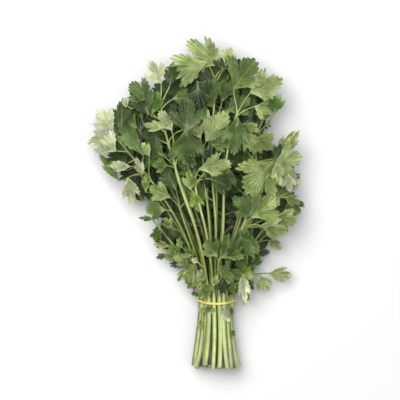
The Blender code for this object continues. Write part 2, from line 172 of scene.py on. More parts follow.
# Upper rows, each from the left to the right. A stem: x and y of its fork, the way it arrives, how
# far its blades lie over it. A blade: x and y of its base, its way, length, breadth and tone.
upperRows = {
    6: (
        (-33, 170, -12, 3.5, ((-36, 180, 78, 28, 1.2, "midDark"), (-25, 196, -3, 32, 1.0, "dark"),
            (-37, 199, -36, 23, 0.8, "sageMid"), (-45, 201, -72, 18, 0.6, "pale"))),
        (-17, 158, -4, 7, ((-13, 167, 75, 31, 0.68, "light"), (-4, 160, 108, 22, 0.8, "dark"),
            (-21, 167, -28, 15, 0.8, "dark"))),
        (1, 89, 4, 8, ((0, 95, -42, 19, 1.0, "mid"), (2, 94, 50, 27, 0.95, "mid"),
            (2, 98, 8, 11, 0.8, "mid"), (5, 84, 152, 14, 1.0, "lightMid"))),
        (46, 169, 28, 5, ((49, 178, -140, 39, 1.1, "lightMid"), (51, 177, 82, 24, 1.25, "light"),
            (50, 179, 22, 16, 0.6, "dark"))),
    ),
    5: (
        (-48, 222, -14, 4.8, ((-48, 239, -26, 24, 0.8, "sage"), (-41, 237, 8, 22, 0.7, "dark"),
            (-56, 226, -52, 28, 0.8, "midDark"), (-39, 226, 84, 21, 0.8, "mid"))),
        (-10, 185, -2, 3.0, ((-8, 192, 33, 33, 1.0, "light"), (-12, 194, -28, 17, 0.8, "pale"),
            (-4, 190, 85, 18, 0.8, "mid"))),
        (-3, 246, -3, 3.0, ((4, 256, -54, 38, 0.76, "light"), (-9, 259, -109, 43, 0.68, "light"),
            (-11, 243, -140, 22, 0.8, "deep"), (6, 257, 18, 20, 0.64, "pale"))),
        (17, 218, 9, 6.4, ((12, 237, 35, 37, 1.05, "mid"), (26, 235, 67, 32, 1.0, "light"),
            (30, 224, 110, 18, 0.9, "light"))),
        (23, 124, 22, 3.0, ((32, 134, -52, 20, 1.0, "mid"), (34, 133, 56, 24, 0.9, "sageMid"),
            (35, 122, 84, 23, 0.8, "light"), (25, 119, 177, 33, 0.68, "midDark"),
            (48, 131, 110, 22, 0.9, "light"))),
    ),
    4: (
        (-77, 188, -40, 3.0, ((-86, 203, -43, 24, 0.9, "sage"), (-86, 197, -104, 23, 1.0, "sage"),
            (-79, 204, -4, 26, 0.7, "dark"))),
        (-32, 137, -16, 4.8, ((-39, 144, -64, 22, 0.8, "light"), (-23, 145, 8, 24, 0.7, "lime"),
            (-34, 150, -22, 24, 0.8, "dark"))),
        (2, 214, 0, 3.0, ((-3, 222, -36, 26, 0.9, "light"), (4, 227, 10, 27, 0.9, "midDark"),
            (8, 219, 60, 26, 0.9, "mid"))),
        (34, 178, 18, 4.8, ((34, 186, 44, 22, 1.0, "light"), (26, 186, 2, 27, 0.9, "midDark"),
            (53, 179, 34, 27, 0.6, "pale"))),
        (41, 143, 42, 3.0, ((61, 149, 16, 20, 0.9, "sage"), (61, 146, 158, 20, 0.9, "mid"),
            (48, 147, 62, 22, 0.9, "mid"))),
        (19, 67, 40, 6.5, ((22, 73, 20, 17, 0.95, "lime"), (24, 69, 178, 17, 0.5, "pale"))),
    ),
    3: (
        (-50, 120, -44, 3.0, ((-54, 126, -84, 13, 0.4, "bright"), (-48, 117, -150, 11, 0.9, "mid"),
            (-52, 131, -22, 15, 0.6, "mid"))),
        (-66, 166, -32, 5.2, ((-70, 178, -22, 34, 0.9, "dark"), (-82, 158, -34, 30, 0.34, "mid"),
            (-75, 162, 172, 25, 0.65, "sage"), (-58, 173, 32, 25, 0.9, "mid"))),
        (-57, 196, -24, 3.0, ((-62, 211, -14, 31, 1.0, "dark"), (-66, 203, -58, 27, 1.0, "mid"),
            (-49, 203, 34, 27, 1.0, "dark"))),
        (-18, 222, -8, 4.8, ((-24, 230, -40, 28, 1.0, "dark"), (-20, 235, 0, 28, 1.0, "dark"),
            (-12, 226, 45, 24, 1.0, "dark"))),
        (37, 203, 14, 3.0, ((43, 217, 38, 19, 0.8, "bright"), (30, 212, -26, 24, 1.0, "dark"),
            (42, 205, 40, 8, 0.5, "pale"))),
        (36, 108, 46, 6.4, ((41, 114, 40, 20, 0.9, "lightMid"), (43, 110, 128, 17, 0.5, "light"),
            (28, 98, 172, 14, 0.8, "lightMid"))),
        (32, 80, 55, 3.0, ((43, 81, 96, 24, 0.6, "sageMid"), (37, 80, 157, 18, 0.78, "sageMid"),
            (33, 86, 18, 12, 0.8, "bright"))),
    ),
}

# Lower rows: the way each stem leaves, and its reach as a share of the bunch's reach that way.
lowerRows = {
    2: ((-38, 0.58), (-24, 0.98), (-17, 0.85), (3, 1.0), (19, 0.84), (33, 0.8)),
    1: ((-37, 0.55), (-20, 0.68), (-4, 0.6), (13, 0.72), (35, 0.92)),
    0: ((-33, 0.9), (-13, 0.95), (5, 0.95), (28, 0.92)),
}
lowerDrops = {0: (5.2, 3.2), 1: (4.2, 2.3), 2: (4.2, 2.3)}
reachWays = (-75, -60, -50, -45, -40, -35, -25, -15, -5, 10, 15, 20, 25, 30, 35, 40, 45, 50, 60)
reaches = (8, 22, 48, 70, 104, 180, 191, 207, 220, 209, 203, 153, 154, 145, 124, 108, 70, 50, 34)


# Leaves of the lower rows, in dark tones that are painted shade of the inside. Sides: how far they turn
# away, and their size.
lowerLeaves = {
    "length": 10,
    "lengthGain": 0.1,
    "middleSize": 1.15,
    "side": (70, 0.95),
    "edgeSide": (30, 0.5),
    "tones": ("dark", "dark", "mid"),
}


def reachAlong(way):
    return interpolate(way, reachWays, reaches)


def lowerRow(row):
    draw = random.Random(40 + row)
    tint = random.Random(70 + row)
    drops = lowerDrops[row]
    stemsMade = []
    for slot, (way, share) in enumerate(lowerRows[row]):
        reach = reachAlong(way) * share
        length = lowerLeaves["length"] + reach * lowerLeaves["lengthGain"]
        middleAway = 3 + length * 0.38
        forkReach = reach - middleAway - length * lowerLeaves["middleSize"]
        fork = Vector((0, packing["bandY"], 0)) + direction(way) * forkReach
        leftTurn, leftSize = lowerLeaves["edgeSide" if slot == 0 else "side"]
        rightTurn, rightSize = lowerLeaves["edgeSide" if slot == len(lowerRows[row]) - 1 else "side"]
        sideAway = 0.3 * length
        blades = []
        for turn, size, away in (
            (0, lowerLeaves["middleSize"], middleAway),
            (-leftTurn, leftSize, sideAway),
            (rightTurn, rightSize, sideAway),
        ):
            out = direction(way + turn * 0.9)
            base = fork + out * away * draw.uniform(0.9, 1.1)
            leafWay = way + turn + draw.uniform(-10, 10)
            breadth = draw.uniform(0.95, 1.15)
            tone = tint.choice(lowerLeaves["tones"])
            blades.append((base.x, base.y, leafWay, length * size, breadth, tone))
        stemsMade.append((fork.x, fork.y, way, -drops[slot % len(drops)], blades))
    return stemsMade


# Small leaves that branch off part-way along the nearest stem: sheet, then as a blade above.
smallLeaves = (
    # deep inside: dark leaves that are painted shade, filling gaps where only shade falls
    (30, -62, 196, -20, 24, 1.0, "deep"), (30, -58, 212, -6, 22, 1.0, "deep"),
    (34, 21, 200, 4, 24, 1.0, "deep"), (30, 35, 187, 8, 14, 1.0, "deep"),
    (30, 18, 168, 10, 24, 1.0, "midDark"),
    # over the middle
    (44, -3, 234, -8, 30, 0.9, "dark"), (52, 3, 251, 4, 15, 1.1, "dark"),
    (40, 8, 246, -4, 17, 0.8, "dark"), (56, -3, 247, 184, 24, 0.6, "midDark"),
    (54, -18, 242, 176, 30, 0.7, "deep"), (61, -6, 189, 176, 16, 0.6, "deep"),
    (61, -7, 165, 178, 14, 0.5, "deep"), (55, -8, 244, -168, 17, 0.6, "dark"),
    (60, -26, 200, 172, 36, 0.95, "midDark"), (59, 16, 214, 180, 34, 0.72, "midDark"),
    (58, 12, 171, 190, 21, 0.9, "midDark"), (60, -20, 149, -3, 18, 0.8, "lightMid"),
    (57, -19, 150, 165, 21, 0.6, "lime"), (55, 24, 202, 150, 22, 0.8, "lightMid"),
    (57, 24, 209, 122, 14, 0.7, "light"), (53, 31, 197, 118, 21, 0.85, "lightMid"),
    (54, 47, 217, 10, 19, 0.75, "bright"),
    # over the right side
    (61, 28, 130, 52, 32, 0.9, "lightMid"), (61, 33, 132, -54, 24, 0.95, "midDark"),
    (59, 18, 121, 175, 40, 0.66, "midDark"), (60, 52, 178, 170, 22, 0.6, "pale"),
    (60, 36, 124, 104, 24, 0.9, "light"), (58, 62, 168, 176, 18, 0.7, "sage"),
    (54, 58, 147, 118, 15, 0.75, "lightMid"), (57, 58, 182, 30, 24, 0.46, "pale"),
    # left side; the deep ones are dark leaves that are painted shade in the gaps
    (22, -66, 174, -16, 26, 1.0, "deep"), (26, -47, 144, -24, 26, 1.0, "deep"),
    (24, -38, 128, -44, 22, 1.0, "deep"), (44, -83, 184, -50, 25, 1.0, "sage"),
    (50, -59, 179, -38, 42, 0.36, "midDark"), (46, -77, 221, -10, 9, 0.7, "sage"),
    (53, -55, 213, 12, 22, 0.7, "bright"), (50, -57, 213, -26, 30, 0.75, "dark"),
    (50, -42, 178, -58, 22, 0.85, "dark"), (52, -54, 178, -30, 16, 0.6, "pale"),
    (52, -70, 171, -84, 20, 0.5, "sage"), (50, -60, 163, -22, 16, 0.6, "sage"),
    (37, -77, 171, -86, 17, 0.5, "pale"), (38, -60, 148, 2, 17, 0.45, "lime"),
    # edge of the lower left
    (44, -46, 116, -112, 13, 0.7, "bright"), (31, -40, 104, -84, 14, 0.55, "pale"),
    (30, -42, 97, -112, 11, 0.5, "mid"), (32, -34, 99, -118, 13, 0.8, "light"),
    (33, -30, 96, -52, 15, 0.9, "mid"), (50, -39, 118, -36, 12, 0.8, "lightMid"),
    (42, -24, 89, -66, 14, 0.9, "light"), (41, -26, 85, -150, 13, 0.6, "light"),
    (44, -17, 79, -44, 15, 0.9, "light"), (46, -21, 91, -28, 14, 0.8, "mid"),
    (50, -19, 84, -150, 14, 0.8, "lightMid"), (54, -15, 76, -128, 13, 0.8, "mid"),
    (52, -12, 71, -60, 13, 0.9, "light"), (56, -9, 68, -150, 11, 0.8, "lightMid"),
    (40, -14, 66, -112, 8, 1.0, "bright"), (50, -18, 73, -128, 7, 0.8, "pale"),
    (50, -10, 64, -30, 11, 0.8, "mid"), (52, -22, 96, -100, 8, 0.7, "pale"),
    (54, -16, 90, -60, 7, 0.8, "sage"), (50, -27, 92, 170, 8, 0.6, "light"),
    (57, -12, 84, -140, 8, 0.7, "sage"), (59, -8, 78, -100, 8, 0.8, "light"),
    (57, -16, 70, 160, 8, 0.7, "sage"), (61, -6, 72, -150, 7, 0.7, "pale"),
    (48, -30, 102, -30, 9, 0.6, "light"), (51, -24, 80, -170, 8, 0.7, "sageMid"),
    (58, -12, 66, -80, 8, 0.6, "sage"),
    # between the stems over the tie; the deep one is a dark leaf that is painted shade in the gap above
    # the tie
    (60, -3, 70, 20, 11, 0.8, "light"), (62, 5, 78, 178, 15, 0.7, "deep"),
    (58, 22, 82, 175, 28, 0.42, "chalk"), (62, 2, 88, 138, 13, 0.9, "lightMid"),
    (61, 7, 90, 20, 9, 0.8, "mid"), (59, 9, 83, 118, 14, 0.9, "mid"),
    (51, 15, 79, 160, 13, 0.9, "dark"), (41, 20, 88, 30, 15, 0.9, "dark"),
    (51, 16, 72, 60, 11, 0.8, "mid"), (61, -12, 61, 24, 13, 0.9, "lightMid"),
    (62, -5, 63, -36, 12, 0.9, "mid"), (62, -9, 73, 165, 12, 0.9, "lightMid"),
    (52, 25, 77, 146, 12, 0.65, "bright"), (60, 13, 75, 172, 12, 0.6, "mid"),
    # under the tie, in pale tones that are painted light: brighter than their own green to make up for
    # the shade they lie in
    (62, -11, 54, -164, 9, 0.8, "pale"), (62, -7, 55, 176, 8, 0.8, "lightMid"),
    (62, -3, 54, -168, 8, 0.8, "pale"), (62, 3, 54, 150, 17, 0.6, "chalk"),
    (62, 8, 55, 172, 11, 0.6, "pale"), (60, 12, 54, 176, 10, 0.5, "lightMid"),
    (54, -13, 43, 190, 10, 0.5, "pale"), (58, 12, 33, 140, 6, 0.9, "bright"),
)

# A blade's half edge seen from its hub: way and reach of each tooth, way and reach of the notch
# after it, with reaches as shares of the blade's length. The third notch parts two lobes.
leaf = {
    "hubShare": 0.2,
    "tipReach": 0.80,
    "tipNotch": (4.5, 0.69),
    "teeth": (
        (9, 0.745, 13, 0.61),
        (17, 0.665, 21, 0.52),
        (24, 0.54, 29, 0.23),
        (34, 0.52, 37.5, 0.45),
        (42, 0.65, 47, 0.53),
        (52, 0.61, 57, 0.46),
        (61, 0.50, 67, 0.34),
        (72, 0.38, 82, 0.22),
    ),
    "wedge": ((108, 0.145), (135, 0.13), (158, 0.15)),
    "toothWays": (-0.8, 0.8),
    "toothReaches": (0.94, 1.05),
    "notchReaches": (0.93, 1.05),
    "deepNotch": 0.3,
    "deepNotchReaches": (0.85, 1.15),
    "rings": (0, 0.3, 0.6, 0.84, 1),
    "thickness": 0.36,
    "fold": (6, 36),
    "foldWays": (1, 1, -0.6),
    "curl": (0.15, 1.2),
    "lean": (-0.3, 0.3),
    "ruffle": (0.03, 0.07),
    "crease": (0.05, 0.6),
    "lobeWay": 46,
    "lobeDroop": (-0.34, 0.2),
    "lobeNotchRise": 0.1,
    "pleat": 0.011,
    "sinkShare": 0.4,
    "room": (3.4, 3.6, 4.5, 6.0, 7.0, 8.0, 9.5),
    "tieRoom": 2.2,
    "tieLength": 5,
    "shades": (0.86, 1.12),
    "hubShade": 0.84,
    "ringShade": 0.2,
    "mottle": 0.08,
    # painted light: how much lighter one half of a blade is painted than the other, as if lit from one
    # side
    "paintedHalfLight": (0.08, 0.3),
    # painted highlight: how much paler each blade's outer edge is painted, as a backlit rim, and its gain
    # per channel
    "rim": 0.3,
    "rimGain": (1.0, 0.8, 1.3),
}


def bladeEdge(draw, coarse):
    # (way, reach, vein count) of each point of the edge, from the base round the tip to the base.
    # The vein count is a whole number at each tooth and ends in a half at each notch.
    edge = []
    for side in (-1, 1):
        deep = draw.uniform(*leaf["deepNotchReaches"])
        lastWay, lastReach = leaf["tipNotch"]
        half = [
            (0, leaf["tipReach"], 0),
            (lastWay * 0.5, leaf["tipReach"] * 0.985, 0.25),
            (lastWay, lastReach, 0.5),
        ]
        teeth = leaf["teeth"][::2] if coarse else leaf["teeth"]
        for number, (way, reach, notchWay, notchReach) in enumerate(teeth, 1):
            way += draw.uniform(*leaf["toothWays"])
            reach *= draw.uniform(*leaf["toothReaches"])
            deeper = deep if notchReach < leaf["deepNotch"] else 1
            notchReach *= draw.uniform(*leaf["notchReaches"]) * deeper
            half += [
                (between(lastWay, way, 0.4), between(lastReach, reach, 0.66), number - 0.3),
                (way, reach, number),
                (between(way, notchWay, 0.5), between(notchReach, reach, 0.74), number + 0.25),
                (notchWay, notchReach, number + 0.5),
            ]
            lastWay, lastReach = notchWay, notchReach
        count = len(teeth)
        half += [(way, reach, count + 0.6 + 0.1 * n) for n, (way, reach) in enumerate(leaf["wedge"])]
        half.append((180, leaf["hubShare"], count + 1))
        signed = [(side * way, reach, side * vein) for way, reach, vein in half]
        edge = signed[:0:-1] + edge if side < 0 else edge + signed
    return edge


def bladeForm(draw, spec, sheet, droop, room):
    # draws a blade's fold, curl, creases and ruffle, and returns where a point of it lies
    x, y, way, length, breadth = spec[:5]
    fold = math.radians(draw.uniform(*leaf["fold"])) * draw.choice(leaf["foldWays"])
    curl = draw.uniform(*leaf["curl"])
    length *= math.sqrt(curl / math.sin(curl))  # makes up for part of what the curl takes
    ruffle = draw.uniform(*leaf["ruffle"])
    crease = draw.uniform(*leaf["crease"])
    leftDroop, tipDroop, rightDroop = [draw.uniform(*leaf["lobeDroop"]) for lobe in range(3)]
    phase = draw.uniform(0, 6.28)
    lean = draw.uniform(*leaf["lean"])
    along = direction(way)
    across = direction(way + 90)
    lobe = math.radians(leaf["lobeWay"])
    lobeTurns = (-lobe, -lobe / 2, 0, lobe / 2, lobe)
    lobeDroops = (leftDroop, leaf["lobeNotchRise"], tipDroop, leaf["lobeNotchRise"], rightDroop)

    def placed(share, vein=0.0):  # share: place about the hub in blade lengths
        wide = share.x * breadth
        run = leaf["hubShare"] + share.y
        turn = math.atan2(share.x, share.y)
        away = share.length / leaf["tipReach"]
        lifted = abs(wide) * math.sin(fold) + wide * lean
        lifted -= (1 - math.cos(curl * run)) / curl * 0.7
        lifted += crease * away * 0.8 * min(abs(turn), abs(abs(turn) - lobe))
        lifted += interpolate(turn, lobeTurns, lobeDroops) * away**2
        lifted += ruffle * away**2 * math.sin(3 * turn + phase)
        lifted -= leaf["pleat"] * away * math.cos(2 * math.pi * vein)
        wide *= math.cos(fold * 0.6)
        run = math.sin(curl * run) / curl
        plan = Vector((x, y, 0)) + (across * wide + along * run) * length
        sunk = droop * min(1, (share.length / 0.6) ** 2)
        place = settle(plan.x, plan.y, sheet - sunk)
        reach = room if lifted > 0 else room * leaf["sinkShare"]
        place.z += reach * math.tanh(lifted * length / reach)
        place.z = max(leaf["thickness"] + 0.1, place.z)
        return place

    return placed


def addBlade(body, layers, spec, sheet, droop, seed, room, coarse=False):
    draw = random.Random(seed)
    placed = bladeForm(draw, spec, sheet, droop, room)
    edge = bladeEdge(draw, coarse)
    rings = leaf["rings"][::2] if coarse else leaf["rings"]
    lastColumn, lastRing = len(edge) - 1, len(rings) - 1
    grid = bmesh.ops.create_grid(body, x_segments=lastColumn, y_segments=lastRing, size=0.5)["verts"]
    faces = list({face for vert in grid for face in vert.link_faces})
    shade = draw.uniform(*leaf["shades"])
    paintedHalfLight = draw.uniform(*leaf["paintedHalfLight"]) * draw.choice((-1, 1))
    veins = {}
    for vert in grid:
        way, reach, vein = edge[round((vert.co.x + 0.5) * lastColumn)]
        ring = rings[round((vert.co.y + 0.5) * lastRing)]
        veins[vert] = (vein, reach * ring)
        turn = math.radians(way)
        graded = shade * (leaf["hubShade"] + leaf["ringShade"] * ring)
        graded *= 1 + leaf["mottle"] * math.sin(2.5 * turn + seed)
        # painted light: one half of the blade, either side of the midrib, is painted lighter and the
        # other darker, as differently lit halves
        graded *= 1 + paintedHalfLight * math.tanh(3 * turn) * ring
        # painted highlight: the outer edge of every blade is painted paler, a backlit rim of light
        rim = leaf["rim"] * ring**6
        greens = zip(tones[spec[5]], leaf["rimGain"])
        painted = [channel * graded * (1 + rim * gain) for channel, gain in greens]
        vert[layers["tone"]] = (*painted, 1)
        vert.co = toFrame(placed(direction(way) * reach * ring, vein))
    for face in faces:
        face.smooth = True
        face.material_index = 1
        for loop in face.loops:
            loop[layers["uv"]].uv = veins[loop.vert]
    bmesh.ops.remove_doubles(body, verts=grid, dist=1e-6)
    faces = [face for face in faces if face.is_valid]
    for line in {line for face in faces for line in face.edges}:
        line.smooth = not line.is_boundary
    under = bmesh.ops.solidify(body, geom=faces, thickness=leaf["thickness"] * mm)["geom"]
    for face in under:
        if isinstance(face, bmesh.types.BMFace):
            face.material_index = 2
            for line in face.edges:
                line.smooth = all(near.material_index == 2 for near in line.link_faces)
    return placed


# Stems and stalklets, with the greens they pass through from the cut to the leaves. Rows are
# numbered from the surface up, and spans and places are where a value goes from first to last.
stems = {
    "radiusCut": 2.3,
    "radiusBand": 2.1,
    "radiusFork": 1.0,
    "radiusPast": 1.72,
    "topRowThinner": 0.86,
    "forkVariation": (0.65, 1.2),
    "thickness": (0.8, 1.12),
    "footPlaces": (20, 50),
    "ease": 0.36,
    "footSteps": 6,
    "kneeAt": 0.6,
    "bow": 3.0,
    "cutSway": 1.8,
    "kneeSway": 1.3,
    "cutSlant": 0.5,
    "pithInset": 0.5,
    "pithDepth": 0.3,
    "sides": 16,
    "ribDepth": 0.06,
    # Painted light on each whole stem: a darker shaded side, a creamy painted highlight along the side
    # turned up, weaker above the tie (streaks), and which side is lit.
    "paintedShadeSide": 0.18,
    "shadeSideSpan": (-0.2, 0.9),
    "highlightSpan": (0.88, 0.97),
    "streaks": (0.75, 0.4),
    "highlightPlaces": (62, 90),
    "paintedHighlight": (0.74, 0.78, 0.52),
    "pith": (0.60, 0.66, 0.38),
    "litSides": (-2.6, -0.5),
    "shades": (0.66, 1.06),
    # Painted shade: stems of the lower, inner rows are painted darker, outer stems stay lit, and a
    # painted shadow darkens the stems just above the tie.
    "shadeRows": (0, 3, 5, 6),
    "paintedRowShade": (0.08, 0.1, 0.22, 1.15),
    "paintedRowShadeUp": (0.4, 0.7, 0.95, 1.05),
    "paintedEdgeLight": 0.95,
    "paintedShadowShare": 0.55,
    "paintedShadowPlaces": (57, 63, 86, 104),
    "colourPlaces": (0, 14, 57, 110, 200),
    "colours": (
        (0.64, 0.70, 0.34),
        (0.50, 0.62, 0.15),
        (0.44, 0.56, 0.115),
        (0.42, 0.53, 0.115),
        (0.38, 0.49, 0.135),
    ),
}

stalklets = {
    "radii": (0.72, 0.42),
    "sink": 2.0,
    "firstSteps": 4,
    "steps": 5,
    "sides": 8,
    "spacing": 1.5,
    "colourFrom": 150,
    "colourStep": 10,
    "thinRadii": (0.6, 0.36),
    "thinSides": 6,
    "thinSteps": 4,
}


def growRing(body, edges, move):  # extrudes a ring of edges and carries the new ring along
    grown = bmesh.ops.extrude_edge_only(body, edges=edges)["geom"]
    verts = [item for item in grown if isinstance(item, bmesh.types.BMVert)]
    ringVerts = set(verts)
    lines = [item for item in grown if isinstance(item, bmesh.types.BMEdge)]
    edges = [line for line in lines if set(line.verts) <= ringVerts]
    faces = [item for item in grown if isinstance(item, bmesh.types.BMFace)]
    bmesh.ops.transform(body, matrix=move, verts=verts)
    return verts, edges, faces


def ringPlaces(points, radii):  # the turned and scaled frame of each ring of a stalk
    places = []
    sideways = Vector((1, 0, 0))
    for index, (point, radius) in enumerate(zip(points, radii)):
        before = points[max(0, index - 1)]
        after = points[min(len(points) - 1, index + 1)]
        heading = (after - before).normalized()
        sideways = (sideways - heading * sideways.dot(heading)).normalized()
        up = heading.cross(sideways)
        turned = Matrix((sideways, up, heading)).transposed().to_4x4() @ Matrix.Scale(radius * mm, 4)
        turned.translation = toFrame(point)
        places.append(turned)
    return places


def addStalk(body, layers, points, radii, sides, colours, ribbed=0.0, slant=None, litSide=0.0):
    # a rod through the points: one ring of vertices, extruded from station to station. With a slant it is
    # a whole stem, with a painted shaded side, a creamy painted highlight streak on its lit side and a
    # pale cut.
    places = ringPlaces(points, radii)

    def paint(verts, place, colour, point):
        unturned = place.inverted()
        for vert in verts:
            local = unturned @ vert.co
            side = math.cos(math.atan2(local.y, local.x) - litSide)
            share, highlighted = 1.0, 0.0
            # painted light: darker on the shaded side, with a creamy painted highlight streak on the lit
            # side, turned upwards
            if slant is not None:
                share = interpolate(side, stems["shadeSideSpan"], (stems["paintedShadeSide"], 1))
                lightness = min(1, colour[1] * 1.8) ** 1.5
                highlighted = interpolate(side, stems["highlightSpan"], (0, 1)) * lightness
                highlighted *= interpolate(point.y, stems["highlightPlaces"], stems["streaks"])
            painted = [
                channel * share * (1 - highlighted) + pale * highlighted
                for channel, pale in zip(colour, stems["paintedHighlight"])
            ]
            vert[layers["tone"]] = (*painted, 1)

    ring = bmesh.ops.create_circle(body, cap_ends=True, segments=sides, radius=1)["verts"]
    for number, vert in enumerate(ring):
        vert.co *= 1 - ribbed * (number % 2)
    cap = ring[0].link_faces[0]
    edges = list(cap.edges)
    made = [cap]
    bmesh.ops.transform(body, matrix=places[0], verts=ring)
    paint(ring, places[0], colours[0], points[0])
    for before, after, colour, point in zip(places, places[1:], colours[1:], points[1:]):
        verts, edges, faces = growRing(body, edges, after @ before.inverted())
        made += faces
        paint(verts, after, colour, point)
    made += bmesh.ops.contextual_create(body, geom=edges)["faces"]
    if slant is not None:
        cutHeight = places[0].translation.z
        for vert in ring:
            vert.co += Vector((0, slant * (vert.co.z - cutHeight), 0))
        inset, depth = stems["pithInset"] * mm, stems["pithDepth"] * mm
        made += bmesh.ops.inset_individual(body, faces=[cap], thickness=inset, depth=-depth)["faces"]
        for vert in cap.verts:
            vert[layers["tone"]] = (*stems["pith"], 1)
    skin = {face for face in made if face.is_valid} | {face for vert in ring for face in vert.link_faces}
    bmesh.ops.recalc_face_normals(body, faces=list(skin))
    for face in skin:
        face.smooth = len(face.verts) == 4


# painted shade: lower rows darker inside the bunch, outer stems lighter, and a painted shadow of the
# leaves over the stems just above the tie
def stemColour(y, row, shade, edge=False):
    below = stems["paintedEdgeLight"] if edge else interpolate(row, stems["shadeRows"], stems["paintedRowShade"])
    above = interpolate(row, stems["shadeRows"], stems["paintedRowShadeUp"])
    shaded = stems["paintedShadowShare"] * above
    light = interpolate(y, stems["paintedShadowPlaces"], (below, shaded, shaded, above))
    channels = zip(*stems["colours"])
    colour = [interpolate(y, stems["colourPlaces"], values) for values in channels]
    return tuple(channel * shade * light for channel in colour)


def branchRoute(start, heading, blade, sheet, steps):
    base = Vector((blade[0], blade[1], sheet))
    along = direction(blade[2])
    span = base - start
    leave = (span.normalized() + heading * 0.5) * span.length * 0.6
    arrive = along * span.length * 0.6
    end = base + along * stalklets["sink"]
    return [settle(*point) for point in smoothRoute(start, leave, end, arrive, steps)]


def stemPath(row, slot, stem):  # the points and radii of a stem, from its cut to its fork
    draw = random.Random(100 * row + slot)
    sheet = packing["rowSheets"][row]
    bandY, half = packing["bandY"], packing["bandHalf"]
    across = (slot - (packing["rowCounts"][row] - 1) / 2) * packing["stemPitch"]
    cutHeight = stems["radiusCut"] + packing["cutRise"] * row
    cut = Vector((across * packing["cutFlare"], draw.uniform(0, packing["cutUnevenness"]), cutHeight))
    underBand = settle(across, bandY - half, sheet)
    pastBand = Vector((across, bandY + half, sheet))
    knee = cut.lerp(underBand, stems["kneeAt"]) - Vector((across * 0.1, 0, 0))
    cut.x += draw.uniform(-1, 1) * stems["cutSway"]
    knee.x += draw.uniform(-1, 1) * stems["kneeSway"]
    steps = stems["footSteps"]
    arrive = Vector((0, (underBand - knee).length, 0))
    foot = smoothRoute(cut, (knee - cut) * 1.2, underBand, arrive, steps)
    kneeBow = knee.x - cut.lerp(underBand, stems["kneeAt"]).x
    for number, point in enumerate(foot[:-1], 1):
        point.x += kneeBow * math.sin(math.pi * number / steps)
    points = [cut, *foot, settle(*pastBand)]
    ends = (stems["radiusCut"] * draw.uniform(*stems["thickness"]), stems["radiusBand"])
    radii = [interpolate(point.y, stems["footPlaces"], ends) for point in points]

    fork = Vector((stem[0], stem[1], sheet))
    reach = (fork - pastBand).length
    steps = 5 + round(reach / 14)
    radiusFork = stems["radiusFork"] * draw.uniform(*stems["forkVariation"])
    leave = Vector((0, reach * 0.8, 0))
    route = smoothRoute(pastBand, leave, fork, direction(stem[2]) * reach * 0.8, steps)
    bow = draw.uniform(-1, 1) * stems["bow"] * min(1, reach / 80)
    topRow = row == len(packing["rowCounts"]) - 1
    past = stems["radiusPast"] * (stems["topRowThinner"] if topRow else 1)
    for step, point in enumerate(route, 1):
        point.x += bow * math.sin(math.pi * step / steps)
        points.append(settle(*point))
        radii.append(between(past, radiusFork, (step / steps) ** stems["ease"]))
    return points, radii


def addStem(body, layers, row, slot, stem):  # a stem that runs on into its first stalklet
    draw = random.Random(500 + 10 * row + slot)
    shade = draw.uniform(*stems["shades"])
    points, radii = stemPath(row, slot, stem)
    sheet = packing["rowSheets"][row]
    fork = Vector((stem[0], stem[1], sheet))
    steps = stalklets["firstSteps"]
    first = branchRoute(fork, direction(stem[2]), stem[4][0], sheet + stem[3], steps)
    whole = points + first
    thick = radii + tapered(steps, stalklets["radii"])
    # stems on the outside of the bunch, and the lowest row, get the painted light of the edge
    edge = row == 0 or slot in (0, packing["rowCounts"][row] - 1)
    colours = [stemColour(point.y, row, shade, edge) for point in whole]
    slant = draw.uniform(-1, 1) * stems["cutSlant"]
    litSide = draw.uniform(*stems["litSides"])
    addStalk(body, layers, whole, thick, stems["sides"], colours, stems["ribDepth"], slant, litSide)
    return points, shade


# A blade's raised midrib, from the stalklet to the middle of the tip lobe.
rib = {
    "shares": (-0.16, -0.05, 0.12, 0.3, 0.48),
    "radius": 0.36,
    "taper": (1.0, 0.95, 0.75, 0.55, 0.3),
    "fullLength": 22,
    "sides": 5,
    "colour": (0.42, 0.52, 0.22),
    "colourShare": 0.45,
}


def addRib(body, layers, placed, tone, length):
    points = [placed(Vector((0, share, 0))) + Vector((0, 0, 0.05)) for share in rib["shares"]]
    radii = [rib["radius"] * size * min(1, length / rib["fullLength"]) for size in rib["taper"]]
    greens = zip(tones[tone], rib["colour"])
    colour = [between(channel, pale, rib["colourShare"]) for channel, pale in greens]
    addStalk(body, layers, points, radii, rib["sides"], [colour] * len(points))


def addObject(name, data):
    item = bpy.data.objects.new(name, data)
    bpy.context.scene.collection.objects.link(item)
    return item


def addMesh(name, body, materials):
    mesh = bpy.data.meshes.new(name)
    body.to_mesh(mesh)
    body.free()
    for material in materials:
        mesh.materials.append(material)
    return addObject(name, mesh)


def newPiece(name, body, materials, cadNode):
    piece = addMesh(name, body, materials)
    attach(piece, "root")
    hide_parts(cadNode)
    return piece


# Materials, all on Object coordinates, the vein map or the tone attribute. Shades and hues are
# what the middle of a noise texture's values is mapped to. A relief is its distance and strength.
noiseSpan = (0.3, 0.7)


def feed(tree, socket, value):  # with a number, a vector or colour, or another node's output
    if isinstance(value, (int, float)):
        socket.default_value = value
    elif isinstance(value, tuple):
        socket.default_value = (*value, 1)[:len(socket.default_value)]
    else:
        tree.links.new(value, socket)


def startMaterial(name, roughness, specular):
    material = bpy.data.materials.new(name)
    material.use_nodes = True
    tree = material.node_tree
    shader = tree.nodes["Principled BSDF"]
    feed(tree, shader.inputs["Roughness"], roughness)
    feed(tree, shader.inputs["Specular IOR Level"], specular)
    return material, tree, shader


def addNode(tree, kind, inputs=(), **settings):
    node = tree.nodes.new("ShaderNode" + kind)
    for key, value in settings.items():
        setattr(node, key, value)
    for key, value in dict(inputs).items():
        feed(tree, node.inputs[key], value)
    return node


